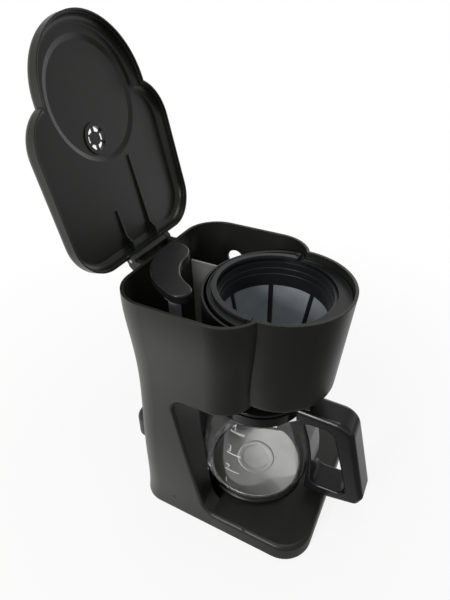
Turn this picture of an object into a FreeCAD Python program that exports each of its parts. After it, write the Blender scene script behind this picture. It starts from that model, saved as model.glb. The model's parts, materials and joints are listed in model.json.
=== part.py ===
import FreeCAD, Part
import math
import os

os.makedirs("parts", exist_ok=True)
V = FreeCAD.Vector

# Drip coffee maker. Millimetres; X to the user's right, Y to the rear, Z up.
# y_shift moves the finished pieces so that the frame's origin lies under the middle.
y_shift = 4.67

# Housing
rim_z = 248.6
head_z = 151.4
base_top_z = 18.0
skirt_z = 1.5
wall = 2.5
fit = 0.3
run = 0.05
base_front = -110.6
base_front_r = 28.3
base_edge_r = 4.0
base_skin = 0.05
base_join_y = -18.7
lobe_y = -46.5
lobe_r_top = 56.4
lobe_taper = 6.5
lobe_r_low = lobe_r_top - lobe_taper
lobe_edge_r = 9.0
under_edge_r = 3.0
tank_floor_z = 72.5
# Rear block: height, half width, rear y, rear corner radius, front y, front corner radius
block = [
    (skirt_z, 77.9, 64.8, 23.7, -33.2, 6.0),
    (60.0, 74.4, 64.9, 23.8, -37.5, 14.0),
    (120.0, 71.0, 65.1, 24.0, -41.9, 26.0),
    (150.0, 70.1, 65.5, 25.5, -44.1, 31.0),
    (200.0, 73.4, 66.9, 28.2, -47.7, 33.0),
    (rim_z, 77.0, 68.6, 31.0, -51.2, 34.6),
]
above_rim = 12.0

# Carafe bay: slanted cheeks with rounded ends and a round pocket behind the glass
cheek_top_y = 23.2
cheek_low_y = -10.2
cheek_low_z = 17.0
cheek_top_r = 10.5
cheek_low_r = 18.5
cheek_toe_y = -27.0
pocket_r = 59.5

# Carafe axis, which is also the axis of the plate and the drip outlet
carafe_y = -31.5
plate_z = 22.8
plate_t = 1.4
plate_r = 46.0
seal_in_r = 43.2
seal_out_r = 50.8
plate_opening_r = 44.5
dimple = 0.7
dimple_r0 = 13.6
dimple_r1 = 19.6

# Lid and its hinge
hinge_y = 79.7
hinge_z = rim_z - 0.5
open_deg = 103.7
lid_rear = 77.8
lid_rear_r = 31.7
lid_h = 13.2
lid_edge_r = 7.0
lid_t = 2.2
knuckle_r = 4.0
ear_r = 4.5
ear_x0 = 22.0
ear_x1 = 27.0
ear_root_y = block[-1][2] - 2.1
ear_foot_z = rim_z - 20.6
ear_back = 3.0
bridge_gap = 0.7
pin_r = 1.5
# Ribs under the lid: x and front end
lid_ribs = [(20.0, 3.0), (-14.0, 40.0)]
rib_t = 2.0
lip_rebate = 0.9
lip_rebate_h = 2.4
dish_r = 41.5
dish_slope = 4.0
dish_depth = 1.6
dish_y = -44.0
vent_x = -8.0
vent_y = -17.5
vent_r = 10.5
vent_rim = 1.6
vent_hub_r = 5.0
vent_spoke_half = 0.6
vent_spokes = 6

# Overflow port and weir
port_y = 31.0
port_z = rim_z - 34.6
port_r = 8.0
weir_in = 21.2
weir_t = 2.5
weir_z = port_z + 3.0

# Basket that hangs inside the lobe, and the filter in it
basket_y = -40.0
flange_gap = 0.7
flange_r = lobe_r_top - wall - flange_gap
flange_w = 3.0
flange_reach = 7.6
flange_out_r = flange_r + flange_reach
flange_lip_w = 1.2
flange_lip_h = 1.0
flange_t = 2.6
basket_z = rim_z - 7.2
basket_floor_z = head_z + 11.6
basket_floor_t = 2.5
basket_t = 1.6
basket_taper = 6.3
basket_r_top = flange_r - flange_w
basket_r_low = basket_r_top - basket_taper
ledge_z = basket_z - 5.4
ledge_w = 1.4
inner_r_top = basket_r_top - basket_t
inner_r_ledge = inner_r_top - ledge_w
inner_r_band = inner_r_ledge - 0.6
inner_r_low = basket_r_low - 2.0
filter_gap = 0.3
band_z = ledge_z - 20.5
filter_rim_h = 2.6
filter_rim_t = 1.0
band_steps = [3.0, 8.6]
band_step_w = 0.65
band_t_low = 1.7
filter_low_z = basket_floor_z + 7.0
filter_r_band = inner_r_band - 0.5
filter_taper = 11.6
filter_r_low = filter_r_band - filter_taper
rib_count = 7
rib_w = 4.2
rib_d = 1.6
mesh_t = 0.5
bail_inset = 1.8
bail_w = 4.2
bail_r1 = flange_r - bail_inset
bail_r0 = bail_r1 - bail_w
bail_t = 2.4
bail_z = basket_z + 1.7
bail_pin_r = 1.3
bail_ear_t = 1.7
bail_ear_gap = 0.5
bail_bore_x = bail_r1 + bail_ear_gap + bail_ear_t + 6.4

# Brew well behind and around the basket
well_room = 4.4
well_r = flange_out_r + well_room
weir_x = well_r - weir_in
well_t = 2.0
well_gap = 0.4
well_z = basket_z - 0.4
well_seat_z = basket_z - flange_t - 0.4

# Drip stop
seat_r = 4.5
snout_r = 9.0
snout_in_r = 7.0
snout_low_z = head_z + 0.5
stem_r = 2.0
pad_r = 6.0
pad_t = 1.6
stem_low_z = head_z - 2.1
valve_head_r = 6.8
valve_head_t = 2.0
valve_seal_t = 0.6
spring_r = 3.8
spring_wire_r = 0.35
spring_turns = 6

# Riser and swinging spout
riser_x = -41.0
riser_y = 29.5
riser_r = 5.0
riser_in_r = 3.4
riser_low_z = 36.0
riser_top_z = rim_z + 2.4
spout_low_z = rim_z - 1.6
spout_top_z = rim_z + 5.6
spout_t = 1.8
spout_boss_r = 8.0
spout_boss_low_z = rim_z - 8.1
spout_edge = [
    (8.5, 47.0), (9.5, 56.5), (1.0, 62.8), (-17.0, 61.8), (-37.0, 53.3),
    (-51.0, 39.0), (-58.5, 25.0), (-61.0, 13.5), (-56.5, 7.6), (-49.5, 7.0),
    (-43.8, 12.5), (-38.4, 21.5), (-29.0, 30.0), (-18.0, 35.2), (-6.0, 37.0),
    (3.0, 40.5),
]

# Water path under the tank
nozzle_x = 16.0
nozzle_y = 46.0
nozzle_r = 3.4
nozzle_in_r = 2.2
nozzle_low_z = 56.0
hose_r = 4.7
hose_z = 10.2
spigot_top_z = 46.0
stub_x = 16.0
stub_in_r = 2.2
clamp_t = 0.5
clamp_w = 5.0

# Heater under the plate
heater_r0 = 24.0
heater_r1 = 38.0
heater_low_z = 9.0
heater_gap_deg = 60.0
bracket_t = 1.2
bracket_w = 12.0
bracket_x = 50.0

# Base plate, feet and screws
cover_z0 = 2.5
cover_t = 2.0
foot_r = 7.0
foot_points = [(58.0, -76.0), (-58.0, -76.0), (58.0, 34.0), (-58.0, 34.0)]
boss_points = [(64.0, -52.0), (-64.0, -52.0), (67.0, 24.0), (-67.0, 24.0)]
boss_web = 2.4
boss_r = 4.2
screw_r = 1.5
screw_head_r = 3.0

# Power switch on the right-hand side of the column
switch_y = 36.0
switch_z = 42.0
pad_x = 75.3
pad_half_y = 13.0
pad_half_z = 16.0
bezel_half_y = 8.0
bezel_half_z = 13.0
bezel_t = 1.4
switch_half_y = 6.6
switch_half_z = 11.4
rocker_half_y = 5.0
rocker_half_z = 8.5
rocker_x = 71.8
rocker_rise = 4.9
rocker_deg = 8.0
rocker_pin_r = 1.0
lamp_z = 66.0
lamp_r = 2.6

# Cord gland on the back
gland_x = -47.0
gland_z = 77.0
gland_bore_z = 63.5
gland_half_w = 10.0
gland_half_h = 19.0
gland_out_y = 75.5
gland_in_y = 60.5
gland_edge_r = 7.0
gland_bore_r = 3.5

# Carafe, whose neck stands a fixed way under the head
glass_t = 2.2
glass_low_z = plate_z + fit
neck_r = 41.5
neck_top_z = head_z - 17.4
neck_low_z = neck_top_z - 12.0
# Heights along the glass wall, which the handle follows as well
glass_foot_z = plate_z - 0.8
glass_rise = neck_low_z - glass_foot_z
widest_z = glass_foot_z + 0.36 * glass_rise
grip_z = glass_foot_z + 0.38 * glass_rise
belly_z = glass_foot_z + 0.54 * glass_rise
shoulder_z = glass_foot_z + 0.73 * glass_rise
throat_z = glass_foot_z + 0.88 * glass_rise
glass_outer = [
    (44.0, glass_low_z), (50.5, glass_foot_z + 3.6), (54.2, glass_foot_z + 10.0),
    (55.7, glass_foot_z + 22.0), (56.0, widest_z), (54.6, belly_z), (50.8, shoulder_z),
    (45.6, throat_z), (neck_r + 0.4, neck_low_z - 3.5), (neck_r, neck_low_z),
]
band_low_z = neck_low_z + 0.4
band_top_z = neck_top_z - 1.5
band_t = 2.2
# Handle seen from the side: y, z and corner radius, round the outside and round the finger opening
handle_half = 14.0
handle_edge_r = 5.0
handle_hole_edge_r = 1.8
handle_root_y = carafe_y - neck_r + 5.0
handle_top_z = band_top_z - 1.9
handle_low_z = plate_z + 2.6
handle_under_z = neck_low_z - 4.6
handle_outer = [
    (handle_root_y, handle_top_z, 0.0), (-121.8, handle_top_z - 0.4, 18.0),
    (-144.915, handle_low_z + 17.6, 9.0), (-140.6, handle_low_z + 6.4, 7.0),
    (-113.0, handle_low_z, 10.0), (-88.6, handle_low_z, 0.0), (-88.8, grip_z, 20.0),
    (-87.3, belly_z, 20.0), (-83.5, shoulder_z, 20.0), (-78.3, throat_z, 10.0),
    (-74.8, handle_under_z, 2.0), (handle_root_y, handle_under_z, 0.0),
]
handle_hole = [
    (-80.9, handle_under_z - 0.9, 3.0), (-106.8, handle_under_z + 1.4, 12.0),
    (-129.6, handle_low_z + 15.1, 8.0), (-93.8, handle_low_z + 12.0, 9.0), (-92.8, grip_z, 20.0),
    (-91.3, belly_z, 20.0), (-87.6, shoulder_z, 20.0),
]
handle_screw_y = -92.0
handle_screw_r = 1.6
handle_lug_x0 = 7.2
handle_lug_x1 = 9.6
carafe_lid_z = neck_top_z + 1.4
carafe_lid_r = 44.0
carafe_lid_skirt_r = 38.6
carafe_lid_skirt_h = 8.4
carafe_lid_t = 1.8
carafe_boss_z = stem_low_z - 0.4
carafe_tab_half = 6.8
carafe_tab_reach = 5.5
carafe_pin_y = -80.0
carafe_pin_z = neck_top_z + 0.8
carafe_pin_r = 1.2


def rounded_wire(points, radii, closed=True):
    # wire through the corner points, each corner turned with its own radius
    ends = []
    count = len(points)
    for i in range(count):
        corner = points[i]
        if radii[i] <= 0.0:
            ends.append((corner, None, corner))
            continue
        back = (points[i - 1] - corner).normalize()
        ahead = (points[(i + 1) % count] - corner).normalize()
        half = back.getAngle(ahead) / 2.0
        run_in = radii[i] / math.tan(half)
        bisector = (back + ahead).normalize()
        middle = corner + bisector * (radii[i] / math.sin(half) - radii[i])
        ends.append((corner + back * run_in, middle, corner + ahead * run_in))
    edges = []
    for i in range(count):
        start, middle, stop = ends[i]
        if middle is not None:
            edges.append(Part.Arc(start, middle, stop).toShape())
        if i == count - 1 and not closed:
            break
        following = ends[(i + 1) % count][0]
        if (following - stop).Length > 1e-6:
            edges.append(Part.makeLine(stop, following))
    return Part.Wire(edges)


def block_wire(level, inset):
    z, half, rear, rear_r, front, front_r = level
    half = half - inset
    rear = rear - inset
    front = front + inset
    corners = [V(half, front, z), V(half, rear, z), V(-half, rear, z), V(-half, front, z)]
    radii = [front_r - inset, rear_r - inset, rear_r - inset, front_r - inset]
    return rounded_wire(corners, radii)


def block_solid(inset, extend):
    levels = list(block)
    if extend > 0.0:
        last = block[-1]
        before = block[-2]
        part = extend / (last[0] - before[0])
        levels.append(tuple(b + (b - a) * part for a, b in zip(before, last)))
    return Part.makeLoft([block_wire(level, inset) for level in levels], True, False)


def cone(r_low, r_top, z_low, z_top, x, y):
    return Part.makeCone(r_low, r_top, z_top - z_low, V(x, y, z_low))


def tube(r, z_low, z_top, x, y):
    return Part.makeCylinder(r, z_top - z_low, V(x, y, z_low))


def ring(r_in, r_out, z_low, z_top, x, y):
    return tube(r_out, z_low, z_top, x, y).cut(tube(r_in, z_low - 1.0, z_top + 1.0, x, y))


def rod_x(r, x_low, x_high, y, z):
    return Part.makeCylinder(r, x_high - x_low, V(x_low, y, z), V(1, 0, 0))


def rod_y(r, y_low, y_high, x, z):
    return Part.makeCylinder(r, y_high - y_low, V(x, y_low, z), V(0, 1, 0))


def box(x0, x1, y0, y1, z0, z1):
    return Part.makeBox(x1 - x0, y1 - y0, z1 - z0, V(x0, y0, z0))


def turned(profile, y):
    # solid of revolution of (radius, height) points about the vertical line at x 0
    points = [V(r, y, z) for r, z in profile]
    face = Part.Face(Part.makePolygon(points + [points[0]]))
    return face.revolve(V(0, y, 0), V(0, 0, 1), 360)


def side_prism(wire, x_low, x_high):
    moved = wire.translated(V(x_low, 0, 0))
    return Part.Face(moved).extrude(V(x_high - x_low, 0, 0))


def piped(points, bend, r, r_in):
    # round hose or wire along straight runs joined by bends
    corners = [V(*p) for p in points]
    path = rounded_wire(corners, [0.0] + [bend] * (len(points) - 2) + [0.0], False)
    heading = corners[1] - corners[0]
    solids = []
    for radius in (r, r_in):
        if radius > 0.0:
            circle = Part.Wire([Part.makeCircle(radius, corners[0], heading)])
            solids.append(path.makePipeShell([circle], True, False))
    return solids[0].cut(solids[1]) if len(solids) > 1 else solids[0]


def near_edges(shape, test):
    return [e for e in shape.Edges if test(e.BoundBox)]


def save(name, shape):
    placed = shape.translated(V(0, y_shift, 0))
    placed.exportStep("parts/" + name + ".step")


def bay_prism(grow):
    # room for the carafe seen from the side, grown by the wall for the hollow behind it
    lean = (cheek_top_y - cheek_low_y) / (head_z - cheek_low_z)
    shift = grow * math.sqrt(1.0 + lean * lean)
    top = head_z + grow
    low = cheek_low_z - grow
    top_y = cheek_top_y + lean * grow + shift
    low_y = cheek_low_y - lean * grow + shift
    points = [
        V(0, -220, top), V(0, top_y, top), V(0, low_y, low),
        V(0, cheek_toe_y, low), V(0, cheek_toe_y, -20), V(0, -220, -20),
    ]
    radii = [0.0, cheek_top_r + grow, cheek_low_r + grow - 1.0, 0.0, 0.0, 0.0]
    return side_prism(rounded_wire(points, radii), -120.0, 120.0)


def pocket(grow):
    return tube(pocket_r + grow, cheek_low_z - 7.0, head_z + grow, 0, carafe_y)


def lobe(inset, extend):
    slope = (lobe_r_top - lobe_r_low) / (rim_z - head_z)
    low = head_z + inset
    top = rim_z + extend
    r_low = lobe_r_low + slope * (low - head_z) - inset
    r_top = lobe_r_top + slope * extend - inset
    solid = cone(r_low, r_top, low, top, 0, lobe_y)
    floor = near_edges(solid, lambda b: b.ZMax < low + 0.01 and b.XLength > r_low)
    return solid.makeFillet(max(lobe_edge_r - inset, 1.0), floor)


def base_block(inset, z_low, z_top, edge_r):
    rear = block[0][2] - base_skin
    half = block[0][1] - base_skin
    low = (z_low, half, rear, block[0][3], base_front, base_front_r)
    top = (z_top, half - 0.9, rear, block[0][3], base_front + 0.6, base_front_r)
    solid = Part.makeLoft([block_wire(low, inset), block_wire(top, inset)], True, True)
    if edge_r <= 0.0:
        return solid
    edges = near_edges(solid, lambda b: b.ZMin > z_top - 0.01)
    return solid.makeFillet(edge_r, edges)


def head_room(inset, z_low):
    # inside of the head and column, down to z_low
    inside = block_solid(inset, above_rim).fuse(lobe(inset, above_rim))
    return inside.common(box(-120, 120, -160, 120, z_low, rim_z + above_rim))


def spout_prism(inset, z_low, z_top):
    # crescent plan of the spout, drawn in by the inset along its own normals
    points = []
    count = len(spout_edge)
    for i in range(count):
        before, here, after = spout_edge[i - 1], spout_edge[i], spout_edge[(i + 1) % count]
        dx, dy = after[0] - before[0], after[1] - before[1]
        length = math.hypot(dx, dy)
        points.append(V(here[0] - inset * dy / length, here[1] + inset * dx / length, z_low))
    curve = Part.BSplineCurve()
    curve.interpolate(points, PeriodicFlag=True)
    first, last = curve.FirstParameter, curve.LastParameter
    middle = (first + last) / 2.0
    wire = Part.Wire([curve.toShape(first, middle), curve.toShape(middle, last)])
    return Part.Face(wire).extrude(V(0, 0, z_top - z_low))


# Housing: one moulding with head, column, base skirt, hinge ears and screw bosses
body = block_solid(0.0, 0.0).cut(bay_prism(0.0))
under_edges = near_edges(body, lambda b: abs(b.ZMin - head_z) < 0.01 and abs(b.ZMax - head_z) < 0.01)
body = body.makeFillet(under_edge_r, under_edges).cut(pocket(0.0))
front = base_block(0.0, skirt_z, base_top_z, base_edge_r)
front = front.common(box(-120, 120, -220, base_join_y, -5, base_top_z + 5))
body = body.fuse(front).fuse(lobe(0.0, 0.0))
solid_front = bay_prism(wall).fuse(pocket(wall))
tank_room = head_room(wall, tank_floor_z)
below_head = box(-120, 120, -220, 120, -30, head_z + wall)
tank_room = tank_room.cut(solid_front.common(below_head))
dry_room = block_solid(wall, 0.0).common(box(-120, 120, -160, 120, 0, tank_floor_z - wall))
dry_room = dry_room.cut(solid_front)
base_room = base_block(wall, -1.0, base_top_z - wall, 0.0)
body = body.cut(tank_room).cut(dry_room).cut(base_room)

pad = box(pad_x - 6.0, pad_x, switch_y - pad_half_y, switch_y + pad_half_y,
          switch_z - pad_half_z, lamp_z + 7.0)
pad_edges = near_edges(pad, lambda b: b.XLength > 5.0)
pad = pad.makeFillet(5.0, pad_edges)
pad_outer = near_edges(pad, lambda b: b.XMin > pad_x - 0.01)
pad = pad.makeFillet(1.0, pad_outer)
clear_pad = box(pad_x, pad_x + 9.0, switch_y - pad_half_y, switch_y + pad_half_y,
                switch_z - pad_half_z, lamp_z + 7.0)
clear_pad = clear_pad.makeFillet(5.0, near_edges(clear_pad, lambda b: b.XLength > 5.0))
body = body.cut(clear_pad).fuse(pad)


def hinge_web(top_z, x0, x1):
    # gusset from the rear wall out under the hinge line
    back = hinge_y + ear_back
    corner_z = min(ear_foot_z + back - ear_root_y - 1.2, top_z - 2.5)
    points = [V(0, ear_root_y, ear_foot_z), V(0, ear_root_y + 1.0, ear_foot_z),
              V(0, back, corner_z), V(0, back, top_z), V(0, ear_root_y, top_z)]
    return side_prism(rounded_wire(points, [0.0, 0.0, 2.0, 0.0, 0.0]), x0, x1)


bridge_z = hinge_z - knuckle_r - bridge_gap
body = body.fuse(hinge_web(bridge_z, -ear_x0, ear_x0).cut(tank_room))
for side in (1, -1):
    x0 = min(side * ear_x0, side * ear_x1)
    x1 = max(side * ear_x0, side * ear_x1)
    ear = hinge_web(hinge_z, x0, x1).fuse(rod_x(ear_r, x0, x1, hinge_y, hinge_z))
    body = body.fuse(ear.cut(tank_room))
body = body.cut(rod_x(pin_r, -40, 40, hinge_y, hinge_z))

for x, y in boss_points:
    reach = math.copysign(block[0][1] - wall / 2.0, x)
    web = box(min(x, reach), max(x, reach), y - boss_web / 2.0, y + boss_web / 2.0,
              cover_z0 + cover_t, base_top_z - 0.5)
    body = body.fuse(tube(boss_r, cover_z0 + cover_t, base_top_z - 0.5, x, y).fuse(web))
    body = body.cut(tube(screw_r, 0, base_top_z - wall - 1.5, x, y))
nozzle = tube(nozzle_r, nozzle_low_z, tank_floor_z - 0.5, nozzle_x, nozzle_y)
body = body.fuse(nozzle)
body = body.cut(tube(nozzle_in_r, 50, 80, nozzle_x, nozzle_y))
grommet_r = riser_r + 2.0
body = body.cut(tube(grommet_r, 60, 80, riser_x, riser_y))
body = body.cut(rod_x(port_r, 60, 95, port_y, port_z))
body = body.cut(tube(snout_r + 1.5, head_z - 5, head_z + 5, 0, carafe_y))
body = body.cut(tube(plate_opening_r, 12, 20, 0, carafe_y))
body = body.cut(box(60, 90, switch_y - switch_half_y - fit, switch_y + switch_half_y + fit,
                    switch_z - switch_half_z - fit, switch_z + switch_half_z + fit))
body = body.cut(rod_x(lamp_r, 60, 90, switch_y, lamp_z))
body = body.cut(rod_y(gland_bore_r + 1.5, 55, 75, gland_x, gland_bore_z))
save("housing_shell", body)

# Base cover, feet and screws
cover = base_block(wall + fit, cover_z0, cover_z0 + cover_t, 0.0)
for x, y in boss_points:
    cover = cover.cut(tube(screw_r + 0.2, 0, 10, x, y))
for x, y in foot_points:
    cover = cover.cut(tube(2.5, 0, 10, x, y))
for n in range(7):
    slot_x = -24.0 + 8.0 * n
    cover = cover.cut(box(slot_x - 1.5, slot_x + 1.5, -2.0, 26.0, 0, 10))
save("base_cover", cover)
feet = []
for x, y in foot_points:
    foot = tube(foot_r, 0.0, cover_z0, x, y)
    foot = foot.makeFillet(0.8, near_edges(foot, lambda b: b.ZMax < 0.01))
    feet.append(foot.fuse(tube(2.5, cover_z0, cover_z0 + cover_t + 1.0, x, y)))
save("rubber_feet", Part.makeCompound(feet))
screws = []
for x, y in boss_points:
    head = tube(screw_head_r, 0.9, cover_z0, x, y)
    screws.append(head.fuse(tube(screw_r, cover_z0, 12.0, x, y)))
save("cover_screws", Part.makeCompound(screws))

# Brew well with the curved wall that keeps the water in the tank behind it
well_low = head_z + wall
shaft = tube(well_r, well_low, well_z, 0, lobe_y)
well_outer = head_room(wall + well_gap, well_low).common(shaft)
well_bore = tube(well_r - well_t, well_low + well_t, well_z + 20, 0, lobe_y)
well_inner = head_room(wall + well_gap + well_t, well_low + well_t).common(well_bore)
well = well_outer.cut(well_inner)
well = well.cut(tube(flange_out_r + 0.9, well_seat_z, well_z + 5, 0, lobe_y))
well = well.cut(tube(snout_r + 1.0, well_low - 5, well_low + 5, 0, carafe_y))
save("brew_well", well)

# Weir between the tank and the overflow port
weir = box(weir_x, weir_x + weir_t, -60, 90, tank_floor_z, weir_z).common(tank_room)
weir = weir.cut(tube(well_r + 0.2, 0, 400, 0, lobe_y))
weir = weir.cut(box(-100, 100, -100, riser_y - 40, 0, 400))
save("overflow_weir", weir)

# Riser, grommet, collar and the spout that swings over the basket
riser = tube(riser_r, spigot_top_z, riser_top_z, riser_x, riser_y)
riser = riser.fuse(tube(nozzle_r, riser_low_z, spigot_top_z, riser_x, riser_y))
riser = riser.cut(tube(riser_in_r, spigot_top_z + 2.0, riser_top_z + 1, riser_x, riser_y))
riser = riser.cut(tube(nozzle_in_r, riser_low_z - 1, spigot_top_z + 3.0, riser_x, riser_y))
save("riser_tube", riser)
grommet = ring(riser_r, grommet_r, tank_floor_z - wall - 1.5, tank_floor_z + 1.5, riser_x, riser_y)
for z in (tank_floor_z - wall - 1.5, tank_floor_z):
    grommet = grommet.fuse(ring(riser_r, grommet_r + 2.0, z, z + 1.5, riser_x, riser_y))
save("riser_grommet", grommet)
collar_z = spout_boss_low_z - fit
save("spout_collar", ring(riser_r, riser_r + 2.6, collar_z - 3.0, collar_z, riser_x, riser_y))
hood = spout_prism(0.0, spout_low_z, spout_top_z)
hood = hood.makeFillet(1.5, near_edges(hood, lambda b: b.ZMin > spout_top_z - 0.01))
hollow = spout_prism(spout_t, spout_low_z - 1.0, spout_top_z - spout_t)
boss = tube(spout_boss_r, spout_boss_low_z, spout_top_z - spout_t, riser_x, riser_y)
hood = hood.cut(hollow.cut(boss))
hood = hood.fuse(tube(spout_boss_r, spout_boss_low_z, spout_low_z + 1.0, riser_x, riser_y))
hood = hood.cut(tube(riser_r + run, 200, riser_top_z + fit, riser_x, riser_y))
save("spout_arm", hood)

# Lid, drawn closed and then turned to the open stop
lid_low = rim_z + fit
lid_top = lid_low + lid_h


def lid_block(inset, z_low, z_top, edge_r):
    rim = block[-1]
    level = (0.0, rim[1], lid_rear, lid_rear_r, rim[4], rim[5])
    slab = Part.Face(block_wire(level, inset)).translated(V(0, 0, z_low))
    slab = slab.extrude(V(0, 0, z_top - z_low))
    slab = slab.makeFillet(edge_r, near_edges(slab, lambda b: b.ZMin > z_top - 0.01))
    nose = tube(lobe_r_top - inset, z_low, z_top, 0, lobe_y)
    top = near_edges(nose, lambda b: b.ZMin > z_top - 0.01 and b.XLength > 50)
    return slab.fuse(nose.makeFillet(edge_r, top))


ceiling = lid_top - lid_t
inner_top = ceiling - dish_depth
lid_room = lid_block(lid_t, lid_low - 1.0, inner_top, lid_edge_r - lid_t + 0.4)
dish = turned([
    (0.0, inner_top - dish_depth), (dish_r + 2.0 * dish_slope, inner_top - dish_depth),
    (dish_r, ceiling), (0.0, ceiling)], dish_y)
lid = lid_block(0.0, lid_low, lid_top, lid_edge_r).cut(lid_room).cut(dish)
for rib_x, start in lid_ribs:
    x0 = rib_x - rib_t / 2.0
    line = [V(0, start, inner_top + 0.5), V(0, start, inner_top - 1.4), V(0, 62.0, ceiling - 4.2),
            V(0, 69.0, lid_low + 1.0), V(0, lid_rear - 1.0, lid_low + 1.0),
            V(0, lid_rear - 1.0, inner_top + 0.5)]
    rib = side_prism(rounded_wire(line, [0.0] * 6), x0, x0 + rib_t)
    lid = lid.fuse(rib.common(lid_block(lid_t - 0.6, lid_low, lid_top - 0.8, lid_edge_r - 1.0)))
lid = lid.cut(lid_block(lid_t - lip_rebate, lid_low - 1.0, lid_low + lip_rebate_h, fit))
knuckle_x = ear_x0 - 0.4
web = box(-knuckle_x, knuckle_x, lid_rear - 2.0, hinge_y, lid_low, hinge_z + knuckle_r)
lid = lid.fuse(web.fuse(rod_x(knuckle_r, -knuckle_x, knuckle_x, hinge_y, hinge_z)))
lid = lid.cut(rod_x(pin_r + run, -60, 60, hinge_y, hinge_z))
for side in (1, -1):
    x0 = min(side * (ear_x0 - fit), side * (ear_x1 + fit))
    x1 = max(side * (ear_x0 - fit), side * (ear_x1 + fit))
    lid = lid.cut(rod_x(ear_r + 0.5, x0, x1, hinge_y, hinge_z))
lid = lid.cut(tube(vent_r, ceiling - 3.0, lid_top + 2.0, vent_x, vent_y))
vent = ring(vent_r - vent_rim, vent_r, ceiling, lid_top + 0.4, vent_x, vent_y)
vent = vent.fuse(ring(vent_r - vent_rim, vent_r + vent_rim, ceiling - 1.0, ceiling, vent_x, vent_y))
vent = vent.fuse(tube(vent_hub_r, ceiling, lid_top, vent_x, vent_y))
for n in range(vent_spokes):
    spoke = box(vent_x, vent_x + vent_r - 1.0, vent_y - vent_spoke_half, vent_y + vent_spoke_half,
                ceiling, lid_top)
    vent = vent.fuse(spoke.rotated(V(vent_x, vent_y, 0), V(0, 0, 1), 360.0 / vent_spokes * (n + 0.5)))
for name, piece in (("lid_shell", lid), ("steam_vent", vent)):
    save(name, piece.rotated(V(0, hinge_y, hinge_z), V(1, 0, 0), -open_deg))
save("lid_hinge_pin", rod_x(pin_r, -ear_x1 - 0.5, ear_x1 + 0.5, hinge_y, hinge_z))

# Brew basket that hangs by its flange, with the outlet snout over the carafe


def flange_plan(inset, z_low, z_top):
    # round at the rear and along the housing's own wall in front
    room = head_room(wall + flange_gap + inset, z_low)
    return room.common(tube(flange_out_r - inset, z_low, z_top, 0, lobe_y))


basket = turned([
    (0.0, basket_floor_z - basket_floor_t), (basket_r_low, basket_floor_z - basket_floor_t),
    (basket_r_low, basket_floor_z), (basket_r_top, basket_z - flange_t),
    (basket_r_top, basket_z), (inner_r_top, basket_z),
    (inner_r_top, ledge_z), (inner_r_ledge, ledge_z), (inner_r_band, band_z - 1.5),
    (inner_r_low, basket_floor_z + 4.0), (inner_r_low - 4.0, basket_floor_z),
    (0.0, basket_floor_z)], basket_y)
lip_top = basket_z + flange_lip_h
flange = flange_plan(0.0, basket_z - flange_t, lip_top)
flange = flange.cut(flange_plan(flange_lip_w, basket_z, lip_top + 1.0))
basket = basket.fuse(flange.cut(tube(inner_r_top + basket_t / 2.0, 200, 300, 0, basket_y)))
for side in (1, -1):
    x0 = min(side * (bail_r1 + bail_ear_gap), side * (bail_r1 + bail_ear_gap + bail_ear_t))
    ear = box(x0, x0 + bail_ear_t, basket_y - 3.0, basket_y + 3.0, basket_z - 1.0, bail_z + 2.6)
    tops = near_edges(ear, lambda b: b.ZMin > bail_z + 2.5 and b.XLength > 1.0)
    basket = basket.fuse(ear.makeFillet(2.4, tops))
basket = basket.cut(rod_x(bail_pin_r + run, -bail_bore_x, bail_bore_x, basket_y, bail_z))
basket = basket.fuse(tube(snout_r, snout_low_z, basket_floor_z - 1.0, 0, carafe_y))
basket = basket.cut(tube(snout_in_r, snout_low_z - 1, basket_floor_z - basket_floor_t, 0, carafe_y))
basket = basket.cut(tube(seat_r, snout_low_z, basket_floor_z + 2, 0, carafe_y))
save("brew_basket", basket)

# Permanent filter: rim, solid band, ribs and mesh panels
rim_r = inner_r_top - filter_gap
band_r = inner_r_ledge - filter_gap
rim_top = ledge_z + filter_rim_h
band_line = [(rim_r, ledge_z), (rim_r, rim_top), (band_r - filter_rim_t, rim_top)]
for depth in band_steps:
    step_r = band_line[-1][0] - 0.1
    band_line.append((step_r, ledge_z - depth))
    band_line.append((step_r - band_step_w, ledge_z - depth - 0.2))
band_line += [(filter_r_band - band_t_low, band_z), (filter_r_band, band_z), (band_r, ledge_z)]
frame = turned(band_line, basket_y)
foot_ring = ring(filter_r_low - 4.0, filter_r_low + 0.8, filter_low_z, filter_low_z + 2.0, 0, basket_y)
frame = frame.fuse(foot_ring)
rib_line = [V(filter_r_band - rib_d, basket_y, band_z + 1.0), V(filter_r_band, basket_y, band_z + 1.0),
            V(filter_r_low + 0.8, basket_y, filter_low_z), V(filter_r_low - 0.8, basket_y, filter_low_z)]
rib_face = Part.Face(Part.makePolygon(rib_line + [rib_line[0]]))
all_ribs = []
for n in range(rib_count):
    rib = rib_face.translated(V(0, -rib_w / 2.0, 0)).extrude(V(0, rib_w, 0))
    turn = 360.0 / rib_count * (n + 0.5)
    all_ribs.append(rib.rotated(V(0, basket_y, 0), V(0, 0, 1), turn))
    bar = box(0.0, filter_r_low - 3.0, basket_y - 1.4, basket_y + 1.4, filter_low_z, filter_low_z + 1.4)
    all_ribs.append(bar.rotated(V(0, basket_y, 0), V(0, 0, 1), turn))
frame = frame.fuse(all_ribs)
save("filter_frame", frame)
mesh_top_r = filter_r_band - rib_d / 2.0
mesh_fall = (mesh_top_r - filter_r_low) / (band_z + 1.0 - filter_low_z)
mesh_r = mesh_top_r - mesh_fall
mesh_low_r = filter_r_low + 2.0 * mesh_fall
mesh = turned([
    (mesh_r + mesh_t / 2.0, band_z), (mesh_low_r + mesh_t / 2.0, filter_low_z + 2.0),
    (mesh_low_r - mesh_t / 2.0, filter_low_z + 2.0), (mesh_r - mesh_t / 2.0, band_z)], basket_y)
mesh = mesh.fuse(tube(filter_r_low - 4.0, filter_low_z + 1.4, filter_low_z + 1.4 + mesh_t, 0, basket_y))
save("filter_mesh", mesh.cut(frame))

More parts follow.
